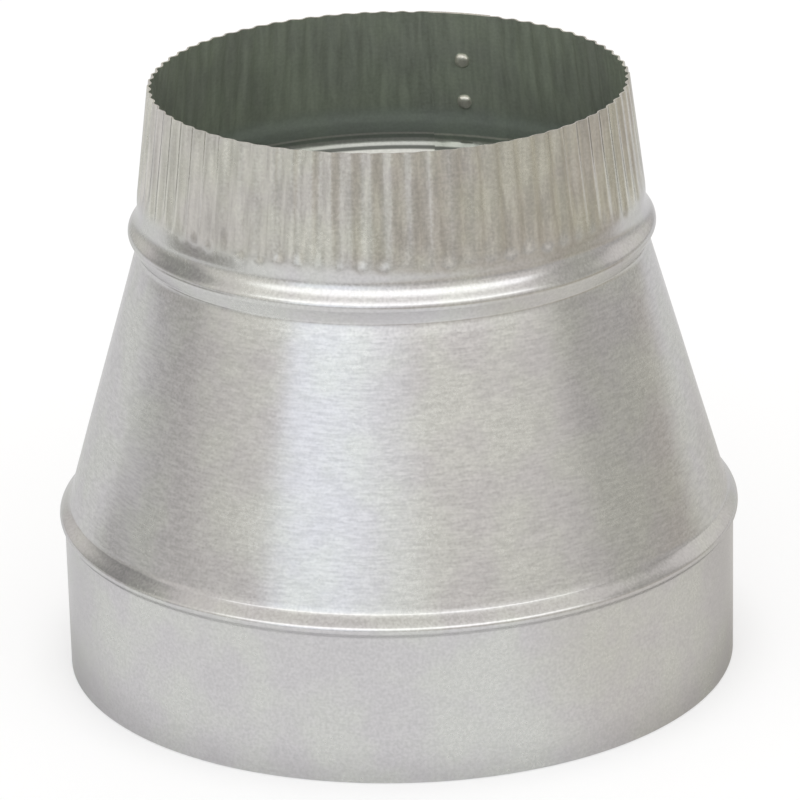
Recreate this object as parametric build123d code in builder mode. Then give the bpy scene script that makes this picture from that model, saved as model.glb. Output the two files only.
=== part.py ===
from build123d import *
import os

# A round duct reducer of galvanised sheet steel, in millimetres and degrees.
# The duct axis is Z, the origin is the centre of the lower rim, and the large end is down.
# The large end slips over a pipe, and the crimped small end slips into the next one.

# Sheet and ends
sheet = 0.5
large_bore = 203.2
small_outside = 152.0
tip_outside = 143.3

# Lengths along the axis, from the lower rim upwards
large_collar_length = 45.6
lower_bead_height = 7.2
cone_length = 79.6
upper_bead_height = 9.9
plain_band_length = 5.3
crimped_length = 34.2

# Beads rolled into the sheet at both ends of the cone, each two straight flanks with a narrow crest.
# A crest stands out from the collar or band beside it, and starts above the foot of its bead.
lower_crest_rise = 1.3
lower_crest_start = 1.9
lower_crest_width = 1.3
upper_crest_rise = 3.1
upper_crest_start = 4.6
upper_crest_width = 1.6
# The cone starts narrower than the collar below it and ends wider than the band above it
cone_foot_step = 2.0
cone_head_step = 0.7

# Crimps pressed into the small end: each one deepens quickly over its run-out, then slowly to the tip
crimp_count = 72
crimp_depth = 1.1
crimp_run_out = 4.0
run_out_depth = 0.5

# Lap seam: the two edges of the sheet overlap, and each is joggled by one wall beside the overlap
seam_azimuth = 71.5
lap_angle = 16.0
joggle_angle = 2.0

# Rivets along the middle of the lap
rivet_shank = 2.8
rivet_head = 4.8
raised_head_height = 1.3
raised_head_top = 2.6
flat_head_height = 0.35
hole_clearance = 0.05
seat_clearance = 0.02
collar_rivet_count = 2
cone_rivet_count = 3
spigot_rivet_count = 2
spigot_rivet_start = 4.7
spigot_rivet_pitch = 13.9

# Heights and radii that follow from the sizes above
lower_bead_foot = large_collar_length
lower_crest_foot = lower_bead_foot + lower_crest_start
lower_bead_top = lower_bead_foot + lower_bead_height
upper_bead_foot = lower_bead_top + cone_length
upper_crest_foot = upper_bead_foot + upper_crest_start
upper_bead_top = upper_bead_foot + upper_bead_height
crimp_start = upper_bead_top + plain_band_length
tip = crimp_start + crimped_length
large_radius = large_bore / 2 + sheet
small_radius = small_outside / 2
tip_radius = tip_outside / 2
land_half_angle = lap_angle / 2 + joggle_angle
crimp_pitch = (360 - 2 * land_half_angle) / crimp_count
rivet_grip = 2 * sheet
# Rivet holes are cut well past both faces of the lap
hole_length = 3 * rivet_grip
# A flat head on a round wall needs room for the bulge of the wall under it
seat_gap = seat_clearance + rivet_head**2 / (4 * tip_outside)


def polar(radius, azimuth):
    """A point at a radius and an azimuth about the duct axis."""
    return Vector(radius, 0, 0).rotate(Axis.Z, azimuth)


def radial_plane(azimuth):
    """The upright plane through the axis: X runs outwards, Y runs up."""
    outwards = polar(1, azimuth)
    return Plane(origin=(0, 0, 0), x_dir=outwards, z_dir=outwards.cross(Vector(0, 0, 1)))


def wall_section(large_shift=0, small_shift=0):
    """The sheet in section up to the crimps, with either end set in or out by a shift."""
    collar = large_radius + large_shift
    band = small_radius + small_shift
    with BuildSketch() as section:
        with BuildLine():
            Polyline(
                (collar, 0),
                (collar, lower_bead_foot),
                (collar + lower_crest_rise, lower_crest_foot),
                (collar + lower_crest_rise, lower_crest_foot + lower_crest_width),
                (collar - cone_foot_step, lower_bead_top),
                (band + cone_head_step, upper_bead_foot),
                (band + upper_crest_rise, upper_crest_foot),
                (band + upper_crest_rise, upper_crest_foot + upper_crest_width),
                (band, upper_bead_top),
                (band, crimp_start),
            )
            offset(amount=sheet, side=Side.LEFT, kind=Kind.INTERSECTION)
        make_face()
    return section.sketch


def land_section(shift=0):
    """The uncrimped land at the seam in section, from the plain band to the tip."""
    foot = small_radius + shift
    head = tip_radius + shift
    with BuildSketch() as section:
        with BuildLine():
            Polyline(
                (foot, crimp_start),
                (head, tip),
                (head - sheet, tip),
                (foot - sheet, crimp_start),
                close=True,
            )
        make_face()
    return section.sketch


def seam_section(large_shift=0, small_shift=0):
    """The whole sheet in section at the seam, from rim to tip."""
    with BuildSketch() as section:
        add(wall_section(large_shift, small_shift))
        add(land_section(small_shift))
    return section.sketch


def crimp_edges(ridge, depth):
    """One crimp in plan: a ridge, a flank in, a valley and a flank out, each a quarter of the pitch."""
    radii = (ridge, ridge, ridge - depth, ridge - depth, ridge)
    corners = [polar(radius, number * crimp_pitch / 4) for number, radius in enumerate(radii)]
    return [Line(start, end) for start, end in zip(corners, corners[1:])]


def foot_edges(radius):
    """The smooth foot of a crimp in plan: the round wall, in as many arcs as the crimp has faces."""
    points = [polar(radius, number * crimp_pitch / 8) for number in range(9)]
    return [ThreePointArc(*points[first : first + 3]) for first in (0, 2, 4, 6)]


def crimp_section(rise, depth):
    """One crimp in plan at a height above its foot, as a face of loose edges.

    A sketch would merge the arcs of the foot into one, and the sections would no longer match.
    """
    ridge = small_radius + (tip_radius - small_radius) * rise / crimped_length
    outline = [Line(polar(ridge, angle), polar(ridge - sheet, angle)) for angle in (0, crimp_pitch)]
    for radius in (ridge, ridge - sheet):
        outline += crimp_edges(radius, depth) if depth else foot_edges(radius)
    return Plane.XY.offset(crimp_start + rise) * make_face(outline)


# One crimp over its full length, from a smooth wall at its foot to its deepest at the tip
crimp_sections = [
    crimp_section(0, 0),
    crimp_section(crimp_run_out, run_out_depth),
    crimp_section(crimped_length, crimp_depth),
]
with BuildPart() as crimp:
    loft(crimp_sections, ruled=True)


def seat(start, end, share):
    """A plane on one face of the lap, part of the way along a straight stretch, with Z off the face."""
    along = Vector(end[0] - start[0], 0, end[1] - start[1])
    place = Vector(start[0], 0, start[1]) + along * share
    outwards = along.cross(Vector(0, -1, 0))
    return Plane(
        origin=place.rotate(Axis.Z, seam_azimuth),
        x_dir=polar(1, seam_azimuth + 90),
        z_dir=outwards.rotate(Axis.Z, seam_azimuth),
    )


# Rivet seats, with flat heads where a pipe slides past: inside the collar and outside the spigot
collar_seats = [
    seat((large_bore / 2, lower_bead_foot), (large_bore / 2, 0), (number + 0.5) / collar_rivet_count)
    for number in range(collar_rivet_count)
]
cone_seats = [
    seat(
        (large_radius + sheet - cone_foot_step, lower_bead_top),
        (small_radius + cone_head_step, upper_bead_foot),
        (number + 0.5) / cone_rivet_count,
    )
    for number in range(cone_rivet_count)
]
spigot_seats = [
    seat(
        (small_radius, crimp_start),
        (tip_radius, tip),
        (spigot_rivet_start + number * spigot_rivet_pitch) / crimped_length,
    )
    for number in range(spigot_rivet_count)
]
rivet_seats = collar_seats + cone_seats + spigot_seats

with BuildPart() as body:
    # The plain wall, all round but for the seam
    with BuildSketch(radial_plane(seam_azimuth + land_half_angle)):
        add(wall_section())
    revolve(axis=Axis.Z, revolution_arc=360 - 2 * land_half_angle)
    # The crimps, side by side above it
    with PolarLocations(0, crimp_count, seam_azimuth + land_half_angle, crimp_count * crimp_pitch):
        add(crimp.part)
    # The lap: the outer layer stands out at the large end, the inner layer stands in at the small end
    for shifts in ((sheet, 0), (0, -sheet)):
        with BuildSketch(radial_plane(seam_azimuth - lap_angle / 2)):
            add(seam_section(*shifts))
        revolve(axis=Axis.Z, revolution_arc=lap_angle)
    # The joggles, where each layer runs back into the plain wall
    for shifts, side in (((sheet, 0), 1), ((0, -sheet), -1)):
        with BuildSketch(radial_plane(seam_azimuth + side * lap_angle / 2)):
            add(seam_section(*shifts))
        with BuildSketch(radial_plane(seam_azimuth + side * land_half_angle)):
            add(seam_section())
        loft(ruled=True)
    # The rivet holes through both layers
    with Locations(*rivet_seats):
        Cylinder(rivet_shank / 2 + hole_clearance, hole_length, mode=Mode.SUBTRACT)

# One rivet: a flat head on its seat, a shank through the lap, and a raised head behind it
with BuildPart() as rivet:
    with BuildSketch(Plane.XZ):
        with BuildLine():
            flat_top = seat_gap + flat_head_height
            raised_seat = -rivet_grip - seat_gap
            raised_top = raised_seat - raised_head_height
            Polyline(
                (0, flat_top),
                (rivet_head / 2, flat_top),
                (rivet_head / 2, seat_gap),
                (rivet_shank / 2, seat_gap),
                (rivet_shank / 2, raised_seat),
                (rivet_head / 2, raised_seat),
                (raised_head_top / 2, raised_top),
                (0, raised_top),
                close=True,
            )
        make_face()
    revolve(axis=Axis.Z)

with BuildPart() as rivets:
    with Locations(*rivet_seats):
        add(rivet.part)

body.part.label = "reducer_body"
rivets.part.label = "seam_rivets"
os.makedirs("parts", exist_ok=True)
export_step(body.part, "parts/reducer_body.step")
export_step(rivets.part, "parts/seam_rivets.step")
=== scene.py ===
import math
import random

import bmesh
import bpy
from mathutils import Matrix, Vector


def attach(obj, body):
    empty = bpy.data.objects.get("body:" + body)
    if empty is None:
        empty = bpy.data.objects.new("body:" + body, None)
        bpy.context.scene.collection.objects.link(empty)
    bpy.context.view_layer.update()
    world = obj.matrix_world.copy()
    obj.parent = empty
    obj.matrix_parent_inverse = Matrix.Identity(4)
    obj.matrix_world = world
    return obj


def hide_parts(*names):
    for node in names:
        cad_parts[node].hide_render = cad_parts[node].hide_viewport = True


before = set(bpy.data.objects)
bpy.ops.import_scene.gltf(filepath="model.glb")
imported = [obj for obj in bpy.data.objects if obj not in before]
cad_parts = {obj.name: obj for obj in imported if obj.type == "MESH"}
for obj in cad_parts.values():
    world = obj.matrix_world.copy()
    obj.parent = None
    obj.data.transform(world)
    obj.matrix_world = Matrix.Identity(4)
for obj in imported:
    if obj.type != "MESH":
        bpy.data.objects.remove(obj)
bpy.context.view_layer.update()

# Reducer body: one blank of half-millimetre galvanised steel sheet, rolled up until its two edges lap.
# Two beads are rolled into it, and the small end is crimped so that it slips into the next pipe.
# The outer face of the sheet is drawn in section, spun round, crimped, and then given its thickness.
mm = 0.001
sheet = 0.5 * mm
lap_gap = 0.05 * mm
same_place = 0.01 * mm
merge_distance = 0.001 * mm

# Angles round the axis in degrees
crimped_angle = 340.0
joggle_angle = 2.0
lap_angle = 16.0
crimps_begin = 81.5

# Radii and heights of the outer face in millimetres
collar_radius = 102.1
lower_bead_foot = 45.6
lower_crest_radius = 103.5
lower_crest_foot = 47.5
lower_crest_top = 48.8
cone_foot = 52.25
low_cone_row = 57.0
high_cone_row = 128.4
cone_head = 132.4
upper_crest_radius = 79.1
upper_crest_foot = 137.0
upper_crest_top = 138.45
upper_bead_top = 142.75
band_radius = 76.0
crimp_foot = 147.6
run_out_top = 151.6
spigot_row = 160.0
tip_radius = 71.65
tip = 181.8
section_points = [
    (collar_radius, 0.0),
    (collar_radius, lower_bead_foot),
    (lower_crest_radius, lower_crest_foot),
    (lower_crest_radius, lower_crest_top),
    (100.26, cone_foot),
    (98.87, low_cone_row),
    (77.88, high_cone_row),
    (76.5, cone_head),
    (upper_crest_radius, upper_crest_foot),
    (upper_crest_radius, upper_crest_top),
    (band_radius, upper_bead_top),
    (band_radius, crimp_foot),
    (75.49, run_out_top),
    (74.42, spigot_row),
    (tip_radius, tip),
]


def choose(piece, wanted):
    """Selects in edit mode the points of a piece that a test on their place holds for."""
    mesh = bmesh.from_edit_mesh(piece.data)
    for point in mesh.verts:
        point.select_set(wanted(point.co))
    mesh.select_flush_mode()
    bmesh.update_edit_mesh(piece.data)


def draw_section(name, points):
    """A new piece that is one line through points given as radius and height, left in edit mode."""
    bpy.ops.object.select_all(action="DESELECT")
    bpy.ops.mesh.primitive_plane_add(size=mm, location=(0, 0, 0))
    piece = bpy.context.object
    piece.name = name
    piece.data.name = name
    bpy.ops.object.mode_set(mode="EDIT")
    bpy.ops.mesh.select_all(action="SELECT")
    bpy.ops.mesh.merge(type="CENTER")
    bpy.ops.transform.translate(value=(points[0][0] * mm, 0, points[0][1] * mm))
    for before, after in zip(points, points[1:]):
        step = ((after[0] - before[0]) * mm, 0, (after[1] - before[1]) * mm)
        bpy.ops.mesh.extrude_vertices_move(TRANSFORM_OT_translate={"value": step})
    return piece


body = draw_section("reducer_sheet", section_points)

# The rolls leave the corners of the section round: height, length taken off each side, and steps
for height, length, steps in (
    (lower_bead_foot, 0.5, 2),
    (lower_crest_foot, 0.55, 3),
    (lower_crest_top, 0.65, 3),
    (cone_foot, 0.15, 1),
    (cone_head, 0.45, 2),
    (upper_crest_foot, 0.5, 3),
    (upper_crest_top, 0.85, 4),
    (upper_bead_top, 2.2, 4),
    (crimp_foot, 0.8, 1),
):
    choose(body, lambda place: abs(place.z - height * mm) < same_place)
    bpy.ops.mesh.bevel(offset=length * mm, segments=steps, affect="VERTICES")

# Rows of points along the straight runs, so that they can be crimped and can wave a little.
# Each run lies between two rounded corners: its lowest height, its highest, and the rows put in.
for low, high, rows in (
    (0.0, 45.1, 4),
    (49.2, 52.2, 2),
    (52.35, low_cone_row, 2),
    (low_cone_row, high_cone_row, 7),
    (high_cone_row, 132.1, 3),
    (139.0, 141.1, 2),
    (144.8, 146.9, 1),
    (148.4, run_out_top, 3),
    (run_out_top, spigot_row, 5),
    (spigot_row, tip, 4),
):
    choose(body, lambda place: low * mm - 2 * same_place < place.z < high * mm + 2 * same_place)
    bpy.ops.mesh.subdivide(number_cuts=rows)


def spin(steps, angle):
    """Carries the selected points round the axis by an angle in degrees, with faces behind them."""
    bpy.ops.mesh.spin(steps=steps, angle=math.radians(angle), center=(0, 0, 0), axis=(0, 0, 1))


# How far in each column of points across a crimp is pressed, as a share of the depth of the crimp
crimp_count = 72
crimp_depth = 0.85 * mm
press = (0.0, 0.1, 0.5, 0.9, 1.0, 0.9, 0.5, 0.1)
columns = len(press)

# The crimped part of the turn first, then the inner edge of the lap on from its end
joggle_steps = 3
lap_steps = 16
bpy.ops.mesh.select_all(action="SELECT")
spin(columns * crimp_count, -crimped_angle)
spin(joggle_steps, -joggle_angle)
spin(lap_steps, -lap_angle)
bpy.ops.mesh.select_all(action="SELECT")
bpy.ops.mesh.remove_doubles(threshold=merge_distance)
bpy.ops.object.mode_set(mode="OBJECT")

# No two crimps have quite the same foot, or deepen quickly over quite the same length above it
foot_scatter = (-0.6, 1.4)
run_out_lengths = (1.8, 7.0)
run_out_share = 0.55
uneven_feet = random.Random(11)
feet = []
for crimp in range(crimp_count + 1):
    foot = crimp_foot + uneven_feet.uniform(*foot_scatter)
    feet.append((foot, foot + uneven_feet.uniform(*run_out_lengths)))


def groove(height, crimp):
    """The depth of one crimp at a height, as a share of its depth at the tip."""
    foot, top = feet[crimp]
    if height <= top:
        return run_out_share * max(height - foot, 0) / (top - foot)
    return run_out_share + (1 - run_out_share) * (height - top) / (tip - top)


def outer_share(height):
    """The share of one wall by which the lap's outer edge stands out; its inner edge takes the rest."""
    return min(max((cone_head - height) / (cone_head - cone_foot), 0), 1)


def turned(point):
    """The angle of a point round the axis, in degrees from the start of the crimps."""
    return math.degrees(math.atan2(point.co.y, point.co.x)) % 360


# How far each point moves later on, by its place: into a crimp, or in or out at the lap
last_crimp_end = crimped_angle + 0.1
wrinkle_reach = 6
crimps = body.vertex_groups.new(name="crimps")
inner_lap = body.vertex_groups.new(name="inner_lap")
outer_lap = body.vertex_groups.new(name="outer_lap")
wrinkled_lap = body.vertex_groups.new(name="wrinkled_lap")
for point in body.data.vertices:
    height = point.co.z / mm
    angle = turned(point)
    if angle < last_crimp_end:
        column = round(angle * columns * crimp_count / crimped_angle)
        depth = groove(height, column // columns) * press[column % columns]
        crimps.add([point.index], depth, "REPLACE")
    else:
        joggle = min((angle - crimped_angle) / joggle_angle, 1)
        inner_lap.add([point.index], joggle * (1 - outer_share(height)), "REPLACE")
        in_bead = max(1 - abs(height - upper_crest_foot) / wrinkle_reach, 0)
        wrinkled_lap.add([point.index], joggle * in_bead, "REPLACE")

# The outer edge of the lap, back from the start of the crimps and over the inner edge
bpy.ops.object.mode_set(mode="EDIT")
choose(body, lambda place: place.x > 0 and abs(place.y) < same_place)
spin(joggle_steps, joggle_angle)
spin(lap_steps, lap_angle)
bpy.ops.mesh.select_all(action="SELECT")
bpy.ops.mesh.normals_make_consistent(inside=False)
bpy.ops.object.mode_set(mode="OBJECT")
for point in body.data.vertices:
    in_inner_lap = any(member.group == inner_lap.index for member in point.groups)
    if turned(point) > last_crimp_end and not in_inner_lap:
        joggle = min((360 - turned(point)) / joggle_angle, 1)
        outer_lap.add([point.index], joggle * outer_share(point.co.z / mm), "REPLACE")


def clouds(name, size):
    """A texture of soft clouds of a size, to push points by."""
    texture = bpy.data.textures.new(name, "CLOUDS")
    texture.noise_scale = size
    texture.noise_depth = 1
    return texture


def push(piece, group, distance, texture=None, middle=0.5):
    """Moves a group's points along their normals by a distance, or by a texture about its middle."""
    bpy.context.view_layer.objects.active = piece
    modifier = piece.modifiers.new("push", "DISPLACE")
    modifier.vertex_group = group
    modifier.strength = distance
    modifier.mid_level = middle if texture else 0.0
    modifier.texture = texture
    bpy.ops.object.modifier_apply(modifier=modifier.name)


push(body, "crimps", -crimp_depth)
push(body, "outer_lap", sheet + lap_gap)
push(body, "inner_lap", -sheet - lap_gap)

# Where the upper bead is rolled through both layers of the lap, the inner one wrinkles
push(body, "wrinkled_lap", 0.9 * mm, clouds("lap_wrinkles", size=2.6 * mm), middle=1.0)

# Sheet this thin is never quite true: slow waves all over, and uneven pressing of the crimps
push(body, "", 0.25 * mm, clouds("sheet_waves", size=45 * mm))
push(body, "crimps", 0.4 * mm, clouds("uneven_pressing", size=14 * mm))

# The thickness of the sheet, with a second material slot for its inner face
body.data.materials.append(None)
body.data.materials.append(None)
thickness = body.modifiers.new("thickness", "SOLIDIFY")
thickness.thickness = sheet
thickness.offset = -1
thickness.use_even_offset = True
thickness.material_offset = 1
bpy.ops.object.modifier_apply(modifier=thickness.name)
body.rotation_euler.z = math.radians(crimps_begin)
bpy.ops.object.transform_apply(location=False, rotation=True, scale=False)
bpy.ops.object.shade_smooth_by_angle(angle=math.radians(25))


def link(tree, source, target):
    """Joins an output socket to an input socket."""
    tree.links.new(source, target)


def value_noise(tree, place, scale, detail):
    """Noise of a scale, from 0 to 1, as an output socket."""
    noise = tree.nodes.new("ShaderNodeTexNoise")
    noise.inputs["Scale"].default_value = scale
    noise.inputs["Detail"].default_value = detail
    link(tree, place, noise.inputs["Vector"])
    return noise.outputs["Fac"]


def drawn_noise(tree, place, scales, detail):
    """Noise with a scale of its own along each axis, from 0 to 1, as an output socket."""
    mapping = tree.nodes.new("ShaderNodeMapping")
    mapping.inputs["Scale"].default_value = scales
    link(tree, place, mapping.inputs["Vector"])
    return value_noise(tree, mapping.outputs["Vector"], 1.0, detail)


def spread(tree, source, low, high, from_low=0.0, from_high=1.0):
    """A value carried from one range to another with soft ends, as an output socket."""
    ramp = tree.nodes.new("ShaderNodeMapRange")
    ramp.interpolation_type = "SMOOTHSTEP"
    ramp.inputs["From Min"].default_value = from_low
    ramp.inputs["From Max"].default_value = from_high
    ramp.inputs["To Min"].default_value = low
    ramp.inputs["To Max"].default_value = high
    link(tree, source, ramp.inputs["Value"])
    return ramp.outputs["Result"]


def combine(tree, operation, first, second):
    """Two values put together by a sum, a product or the like, as an output socket."""
    maths = tree.nodes.new("ShaderNodeMath")
    maths.operation = operation
    link(tree, first, maths.inputs[0])
    link(tree, second, maths.inputs[1])
    return maths.outputs["Value"]


def tint(tree, colour, filtered_by):
    """One colour times another, as an output socket."""
    product = tree.nodes.new("ShaderNodeVectorMath")
    product.operation = "MULTIPLY"
    link(tree, colour, product.inputs[0])
    link(tree, filtered_by, product.inputs[1])
    return product.outputs["Vector"]


def fade(tree, share, start, end):
    """A colour that goes from a start to an end as a share goes from 0 to 1, as an output socket."""
    mix = tree.nodes.new("ShaderNodeMix")
    mix.data_type = "RGBA"
    # In a Mix node, inputs 6 and 7 and output 2 are the ones for colours
    mix.inputs[6].default_value = (*start, 1)
    mix.inputs[7].default_value = (*end, 1)
    link(tree, share, mix.inputs[0])
    return mix.outputs[2]


# The zinc coat: fine grain, cloudy patches of a cooler and a warmer grey, and short dashes round the
# cone from its rolls; on the small end, upright streaks of lighter and darker tone are painted
# reflections
plain = (1, 1, 1)
zinc = bpy.data.node_groups.new("zinc_coat", "ShaderNodeTree")
zinc.interface.new_socket("Place", in_out="INPUT", socket_type="NodeSocketVector")
zinc.interface.new_socket("Tone", in_out="INPUT", socket_type="NodeSocketColor")
zinc.interface.new_socket("Dullness", in_out="INPUT", socket_type="NodeSocketFloat")
zinc.interface.new_socket("Color", in_out="OUTPUT", socket_type="NodeSocketColor")
zinc.interface.new_socket("Roughness", in_out="OUTPUT", socket_type="NodeSocketFloat")
zinc.interface.new_socket("Height", in_out="OUTPUT", socket_type="NodeSocketFloat")
zinc_in = zinc.nodes.new("NodeGroupInput")
zinc_out = zinc.nodes.new("NodeGroupOutput")
place = zinc_in.outputs["Place"]
dashes = drawn_noise(zinc, place, scales=(260, 260, 1300), detail=3.0)
grain = value_noise(zinc, place, scale=1100.0, detail=2.0)
patches = value_noise(zinc, place, scale=55.0, detail=3.0)
axes = zinc.nodes.new("ShaderNodeSeparateXYZ")
link(zinc, place, axes.inputs["Vector"])
up_duct = axes.outputs["Z"]
on_cone = combine(
    zinc,
    "MULTIPLY",
    spread(zinc, up_duct, 0.25, 1.0, 50 * mm, 56 * mm),
    spread(zinc, up_duct, 1.0, 0.25, 128 * mm, 134 * mm),
)
dashes = combine(zinc, "MULTIPLY", spread(zinc, dashes, -0.09, 0.09, 0.25, 0.75), on_cone)
# Upright streaks on the small end, lighter and darker: painted reflections along the crimps
painted_upright_streaks = drawn_noise(zinc, place, scales=(480, 480, 22), detail=2.0)
on_spigot = spread(zinc, up_duct, 0.0, 1.0, 146 * mm, 152 * mm)
painted_upright_streaks = combine(zinc, "MULTIPLY", spread(zinc, painted_upright_streaks, -0.11, 0.11, 0.3, 0.7), on_spigot)
roll_marks_and_painted_streaks = combine(zinc, "ADD", dashes, painted_upright_streaks)
shade = combine(zinc, "ADD", spread(zinc, grain, 0.93, 1.07, 0.25, 0.75), roll_marks_and_painted_streaks)
shade = combine(zinc, "MULTIPLY", shade, spread(zinc, patches, 0.965, 1.035, 0.25, 0.75))

# The patches go from a violet cast to a green one, and the small end has a warm cast
violet_cast = (1.0, 0.98, 1.005)
green_cast = (0.995, 1.0, 0.975)
warm_cast = (1.0, 0.982, 0.92)
cast = fade(zinc, spread(zinc, patches, 0, 1, 0.35, 0.65), violet_cast, green_cast)
warm_small_end = fade(zinc, on_spigot, plain, warm_cast)
shaded = zinc.nodes.new("ShaderNodeVectorMath")
shaded.operation = "SCALE"
link(zinc, tint(zinc, tint(zinc, zinc_in.outputs["Tone"], cast), warm_small_end), shaded.inputs[0])
link(zinc, shade, shaded.inputs["Scale"])
link(zinc, shaded.outputs["Vector"], zinc_out.inputs["Color"])
dull_patches = spread(zinc, patches, 0.17, 0.24, 0.2, 0.8)
dull_grain = spread(zinc, grain, 0.0, 0.06, 0.2, 0.8)
roughness = combine(zinc, "ADD", dull_patches, dull_grain)
roughness = combine(zinc, "ADD", roughness, zinc_in.outputs["Dullness"])
link(zinc, roughness, zinc_out.inputs["Roughness"])
bumps = combine(zinc, "ADD", spread(zinc, grain, 0.0, 0.6), dashes)
link(zinc, bumps, zinc_out.inputs["Height"])


def zinc_material(name, tone, metal, dullness):
    """A zinc-coated steel of a tone, with a share that shines as metal and an added roughness."""
    material = bpy.data.materials.new(name)
    material.use_nodes = True
    tree = material.node_tree
    shader = tree.nodes["Principled BSDF"]
    shader.inputs["Metallic"].default_value = metal
    shader.inputs["Specular Tint"].default_value = (0.75, 0.75, 0.75, 1.0)
    coordinates = tree.nodes.new("ShaderNodeTexCoord")
    coat = tree.nodes.new("ShaderNodeGroup")
    coat.node_tree = zinc
    coat.inputs["Tone"].default_value = (*tone, 1.0)
    coat.inputs["Dullness"].default_value = dullness
    link(tree, coordinates.outputs["Object"], coat.inputs["Place"])
    link(tree, coat.outputs["Color"], shader.inputs["Base Color"])
    link(tree, coat.outputs["Roughness"], shader.inputs["Roughness"])
    bump = tree.nodes.new("ShaderNodeBump")
    bump.inputs["Strength"].default_value = 0.15
    bump.inputs["Distance"].default_value = 0.02 * mm
    link(tree, coat.outputs["Height"], bump.inputs["Height"])
    link(tree, bump.outputs["Normal"], shader.inputs["Normal"])
    return material


outside = zinc_material("zinc_outside", tone=(0.578, 0.58, 0.575), metal=1.0, dullness=0.0)
# The inner face is the same zinc, painted darker and greener: painted shade inside the duct
inside = zinc_material("zinc_inside_painted_shade", tone=(0.38, 0.43, 0.385), metal=0.64, dullness=0.19)
body.data.materials[0] = outside
body.data.materials[1] = inside

# Inside, painted highlights and painted shade lie in rings round the groove of the upper bead, where its
# flanks mirror the light: height and tone
tree = inside.node_tree
coordinates = tree.nodes.new("ShaderNodeTexCoord")
axes = tree.nodes.new("ShaderNodeSeparateXYZ")
link(tree, coordinates.outputs["Object"], axes.inputs["Vector"])
groove_foot = 132
groove_height = 12
across = tree.nodes.new("ShaderNodeMapRange")
across.inputs["From Min"].default_value = groove_foot * mm
across.inputs["From Max"].default_value = (groove_foot + groove_height) * mm
link(tree, axes.outputs["Z"], across.inputs["Value"])
painted_light_rings = tree.nodes.new("ShaderNodeValToRGB")
painted_light_rings.color_ramp.elements.remove(painted_light_rings.color_ramp.elements[1])
painted_light_rings.color_ramp.elements[0].color = (*plain, 1)
# Ring tones: painted shade, then painted sheen and painted highlights brighter than the sheet itself
dark = (0.35, 0.33, 0.33)
painted_sheen = (1.45, 1.33, 1.37)
painted_highlight = (1.8, 1.61, 1.66)
for height, tone in (
    (133.2, plain),
    (133.8, painted_highlight),
    (134.8, painted_highlight),
    (135.2, dark),
    (135.9, dark),
    (136.3, painted_sheen),
    (138.2, painted_sheen),
    (138.8, plain),
    (139.8, plain),
    (140.2, painted_highlight),
    (140.6, painted_highlight),
    (141.0, plain),
):
    ring = painted_light_rings.color_ramp.elements.new((height - groove_foot) / groove_height)
    ring.color = (*tone, 1)
link(tree, across.outputs["Result"], painted_light_rings.inputs["Fac"])
base_colour = tree.nodes["Principled BSDF"].inputs["Base Color"]
link(tree, tint(tree, base_colour.links[0].from_socket, painted_light_rings.outputs["Color"]), base_colour)
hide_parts("reducer_body")
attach(body, "root")

# Seam rivets: seven steel rivets down the middle of the lap, each with a flat head and a raised head.
# The flat heads are where a pipe slides past: inside the large collar and outside the crimped end.
# One is drawn in section and spun round, and the other six are copies of it.
seam_azimuth = 71.5
seat_gap = 0.06
grip = 1.0
head_radius = 2.4
shank_radius = 1.4
flat_head_height = 0.35
flat_head_edge = 0.18
flat_head_face = 2.15
# Radii of the raised head, and heights above its seat
raised_head = [(head_radius, 0.0), (2.25, 0.55), (1.8, 0.95), (1.0, 1.22), (0.0, 1.3)]
rivet = draw_section(
    "rivet",
    [
        (0.0, seat_gap + flat_head_height),
        (flat_head_face, seat_gap + flat_head_height),
        (head_radius, seat_gap + flat_head_edge),
        (head_radius, seat_gap),
        (shank_radius, seat_gap),
        (shank_radius, -grip - seat_gap),
        *((radius, -grip - seat_gap - height) for radius, height in raised_head),
    ],
)
bpy.ops.mesh.select_all(action="SELECT")
spin(steps=32, angle=360)
bpy.ops.mesh.select_all(action="SELECT")
bpy.ops.mesh.remove_doubles(threshold=merge_distance)
bpy.ops.mesh.normals_make_consistent(inside=False)
bpy.ops.object.mode_set(mode="OBJECT")

# Seats of the flat heads: two ends of a straight run as radius and height, and a share along it
collar_inside = 101.6
collar_run = ((collar_inside, lower_bead_foot), (collar_inside, 0.0))
cone_run = ((100.6, cone_foot), (76.7, cone_head))
spigot_run = ((band_radius, crimp_foot), (tip_radius, tip))
spigot_length = 34.2
seats = []
for ends, shares in (
    (collar_run, (0.25, 0.75)),
    (cone_run, (0.5 / 3, 1.5 / 3, 2.5 / 3)),
    (spigot_run, (4.7 / spigot_length, 18.6 / spigot_length)),
):
    seats += [(*ends, share) for share in shares]
copies = []
for start, end, share in seats:
    bpy.ops.object.select_all(action="DESELECT")
    rivet.select_set(True)
    bpy.context.view_layer.objects.active = rivet
    bpy.ops.object.duplicate(linked=False)
    copy = bpy.context.object
    run = Vector((end[0] - start[0], 0, end[1] - start[1]))
    centre = (Vector((start[0], 0, start[1])) + run * share) * mm
    off_wall = run.cross(Vector((0, -1, 0))).normalized()
    turn = Matrix.Rotation(math.radians(seam_azimuth), 4, "Z")
    tilt = off_wall.to_track_quat("Z", "Y").to_matrix().to_4x4()
    copy.matrix_world = turn @ Matrix.Translation(centre) @ tilt
    copies.append(copy)
bpy.ops.object.select_all(action="DESELECT")
rivet.select_set(True)
bpy.ops.object.delete()
for copy in copies:
    copy.select_set(True)
bpy.context.view_layer.objects.active = copies[0]
bpy.ops.object.transform_apply(location=True, rotation=True, scale=True)
bpy.ops.object.join()
rivets = bpy.context.object
rivets.name = "rivet_heads"
rivets.data.name = "rivet_heads"
push(rivets, "", 0.3 * mm, clouds("rivet_dents", size=1.6 * mm))
bpy.ops.object.shade_smooth_by_angle(angle=math.radians(40))
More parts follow.
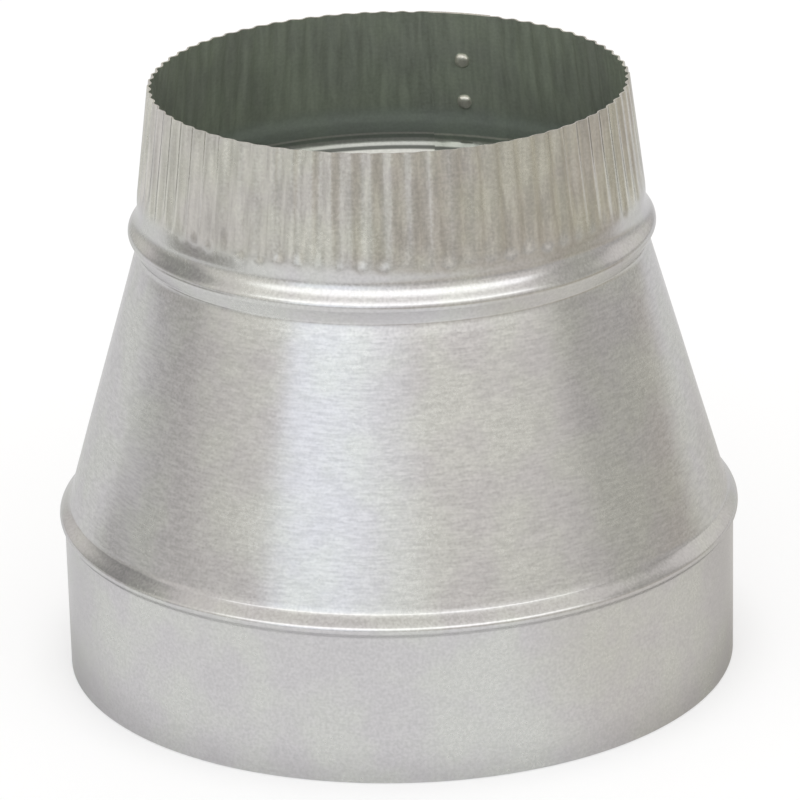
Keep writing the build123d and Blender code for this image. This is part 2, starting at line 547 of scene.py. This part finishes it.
zinc_rivets = zinc_material("zinc_rivets", tone=(0.60, 0.61, 0.58), metal=0.75, dullness=0.10)
rivets.data.materials.append(zinc_rivets)
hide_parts("seam_rivets")
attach(rivets, "root")

# Floor: pale paper on a lit studio table, which shows the soft shadow of the duct.
# The metal mirrors it, so some parts are dimmer for all but the camera, for darker bands on the metal.
# What the camera and the metal see of it is lifted towards white, and less so close to the duct.
bpy.ops.object.select_all(action="DESELECT")
bpy.ops.mesh.primitive_plane_add(size=12, location=(0, 0, -0.0002))
floor = bpy.context.object
floor.name = "floor"
paper = bpy.data.materials.new("paper")
paper.use_nodes = True
tree = paper.node_tree
shader = tree.nodes["Principled BSDF"]
shader.inputs["Roughness"].default_value = 0.9
shader.inputs["Specular IOR Level"].default_value = 0.1
coordinates = tree.nodes.new("ShaderNodeTexCoord")
span = tree.nodes.new("ShaderNodeVectorMath")
span.operation = "LENGTH"
link(tree, coordinates.outputs["Object"], span.inputs[0])
away = span.outputs["Value"]
outwards = tree.nodes.new("ShaderNodeVectorMath")
outwards.operation = "NORMALIZE"
link(tree, coordinates.outputs["Object"], outwards.inputs[0])
axes = tree.nodes.new("ShaderNodeSeparateXYZ")
link(tree, outwards.outputs["Vector"], axes.inputs["Vector"])
rightwards = axes.outputs["X"]
aside = tree.nodes.new("ShaderNodeVectorMath")
aside.operation = "DOT_PRODUCT"
aside.inputs[1].default_value = (0.866, -0.5, 0)
link(tree, coordinates.outputs["Object"], aside.inputs[0])
path = tree.nodes.new("ShaderNodeLightPath")
by_camera = path.outputs["Is Camera Ray"]
by_metal = combine(tree, "ADD", path.outputs["Is Glossy Ray"], path.outputs["Is Transmission Ray"])

# Painted shade on the floor, for all but the camera: far off, front right, and within reach to the left
# and the right; close by at the right it stands for the duct's own shadow
far_off = spread(tree, away, 0, 1, 1.1, 2.8)
front_right = combine(
    tree,
    "MULTIPLY",
    spread(tree, aside.outputs["Value"], 0, 1, 0.18, 0.62),
    spread(tree, away, 1, 0, 2.0, 3.0),
)
in_reach = combine(
    tree,
    "MULTIPLY",
    spread(tree, away, 0, 1, 0.28, 0.38),
    spread(tree, away, 1, 0, 0.75, 1.0),
)
left_reach = combine(tree, "MULTIPLY", spread(tree, rightwards, 1, 0, -0.97, -0.88), in_reach)
right_reach = combine(tree, "MULTIPLY", spread(tree, rightwards, 0, 1, 0.88, 0.97), in_reach)
close_right = combine(
    tree,
    "MULTIPLY",
    spread(tree, rightwards, 0, 1, 0.35, 0.8),
    spread(tree, away, 1, 0, 0.3, 0.6),
)
off_camera = spread(tree, by_camera, 1, 0)
tone = None
for share, colour in (
    (far_off, (0.6, 0.6, 0.6)),
    (front_right, (0.67, 0.635, 0.565)),
    (left_reach, (0.42, 0.41, 0.39)),
    (right_reach, (0.72, 0.70, 0.66)),
    (close_right, (0.87, 0.845, 0.805)),
):
    dimmer = fade(tree, combine(tree, "MULTIPLY", share, off_camera), plain, colour)
    tone = dimmer if tone is None else tint(tree, tone, dimmer)
white = tree.nodes.new("ShaderNodeVectorMath")
white.operation = "MULTIPLY"
white.inputs[1].default_value = (0.92, 0.93, 0.955)
link(tree, tone, white.inputs[0])
link(tree, white.outputs["Vector"], shader.inputs["Base Color"])
glow = tree.nodes.new("ShaderNodeEmission")
glow.inputs["Strength"].default_value = 1.12
link(tree, tone, glow.inputs["Color"])
lifted = combine(
    tree,
    "ADD",
    combine(tree, "MULTIPLY", by_camera, spread(tree, away, 0.30, 0.55, 0.09, 0.12)),
    combine(tree, "MULTIPLY", by_metal, spread(tree, away, 0.0, 0.55, 0.10, 0.13)),
)
blend = tree.nodes.new("ShaderNodeMixShader")
link(tree, lifted, blend.inputs["Fac"])
link(tree, shader.outputs["BSDF"], blend.inputs[1])
link(tree, glow.outputs["Emission"], blend.inputs[2])
link(tree, blend.outputs["Shader"], tree.nodes["Material Output"].inputs["Surface"])
floor.data.materials.append(paper)

# Studio light: a warm white room with two dark sides, a wide soft box up at the front,
# a cool window low at the front left, and a dimmer band all round at the height of the table.
world = bpy.data.worlds.new("studio")
bpy.context.scene.world = world
world.use_nodes = True
tree = world.node_tree
coordinates = tree.nodes.new("ShaderNodeTexCoord")
axes = tree.nodes.new("ShaderNodeSeparateXYZ")
link(tree, coordinates.outputs["Generated"], axes.inputs["Vector"])
up = axes.outputs["Z"]
level = tree.nodes.new("ShaderNodeVectorMath")
level.operation = "MULTIPLY"
level.inputs[1].default_value = (1, 1, 0)
link(tree, coordinates.outputs["Generated"], level.inputs[0])
heading = tree.nodes.new("ShaderNodeVectorMath")
heading.operation = "NORMALIZE"
link(tree, level.outputs["Vector"], heading.inputs[0])


def towards(azimuth):
    """How nearly the level heading points to an azimuth, counted from the front to the right."""
    angle = math.radians(azimuth)
    product = tree.nodes.new("ShaderNodeVectorMath")
    product.operation = "DOT_PRODUCT"
    product.inputs[1].default_value = (math.sin(angle), -math.cos(angle), 0)
    link(tree, heading.outputs["Vector"], product.inputs[0])
    return product.outputs["Value"]


def between(low, low_end, high, high_end):
    """A share that is 1 between two heights of the view upwards and fades to 0 outside them."""
    above = spread(tree, up, 0, 1, low, low_end)
    below = spread(tree, up, 1, 0, high, high_end)
    return combine(tree, "MULTIPLY", above, below)


def paint(under, share, colour):
    """A colour laid over another by a share, as an output socket."""
    mix = tree.nodes.new("ShaderNodeMix")
    mix.data_type = "RGBA"
    link(tree, share, mix.inputs[0])
    link(tree, under, mix.inputs[6])
    mix.inputs[7].default_value = (*colour, 1)
    return mix.outputs[2]


room = tree.nodes.new("ShaderNodeRGB")
room.outputs[0].default_value = (0.93, 0.90, 0.855, 1)
overhead = spread(tree, up, 0, 1, 0.8, 0.95)
light = paint(room.outputs[0], overhead, (0.85, 0.83, 0.79))

# The dark sides: azimuth and colour
for azimuth, colour in ((91, (0.52, 0.505, 0.47)), (-109, (0.38, 0.375, 0.36))):
    side = spread(tree, towards(azimuth), 0, 1, 0.92, 0.985)
    side = combine(tree, "MULTIPLY", side, between(0.04, 0.12, 0.56, 0.70))
    light = paint(light, side, colour)

# The soft box, whose top edge comes down towards its ends
top = combine(tree, "ADD", up, spread(tree, towards(0), 0.14, 0, 0.36, 1.0))
box = combine(tree, "MULTIPLY", spread(tree, up, 0, 1, 0.342, 0.40), spread(tree, top, 1, 0, 0.72, 0.79))
box = combine(tree, "MULTIPLY", spread(tree, towards(0), 0, 1, 0.36, 0.45), box)
light = paint(light, box, (1.9, 1.9, 1.88))

# The window, dimmer at its right, and the band, fainter at the back
window = spread(tree, towards(-20), 0, 1, 0.875, 0.927)
window = combine(tree, "MULTIPLY", window, between(0.05, 0.10, 0.33, 0.38))
window = combine(tree, "MULTIPLY", window, spread(tree, towards(-45), 0.4, 1, 0.707, 0.966))
light = paint(light, window, (1.36, 1.42, 1.50))
band = spread(tree, up, 1, 0, 0.017, 0.14)
band = combine(tree, "MULTIPLY", band, spread(tree, towards(0), 0.45, 1, -0.85, -0.4))
light = paint(light, band, (0.60, 0.585, 0.55))
link(tree, light, tree.nodes["Background"].inputs["Color"])

# Camera: a long lens from the front, a little above the top of the duct.
elevation = math.radians(20.462)
roll = math.radians(1.419)
distance = 1.4849
aim_height = 0.090
bpy.ops.object.camera_add()
camera = bpy.context.object
camera.name = "camera"
camera.matrix_world = (
    Matrix.Translation((0, -distance * math.cos(elevation), aim_height + distance * math.sin(elevation)))
    @ Matrix.Rotation(math.pi / 2 - elevation, 4, "X")
    @ Matrix.Rotation(-roll, 4, "Z")
)
camera.data.sensor_width = 36
camera.data.lens = 220.55
camera.data.shift_x = 0.0055
camera.data.shift_y = -0.0387
bpy.context.scene.camera = camera
bpy.context.scene.view_settings.view_transform = "Standard"
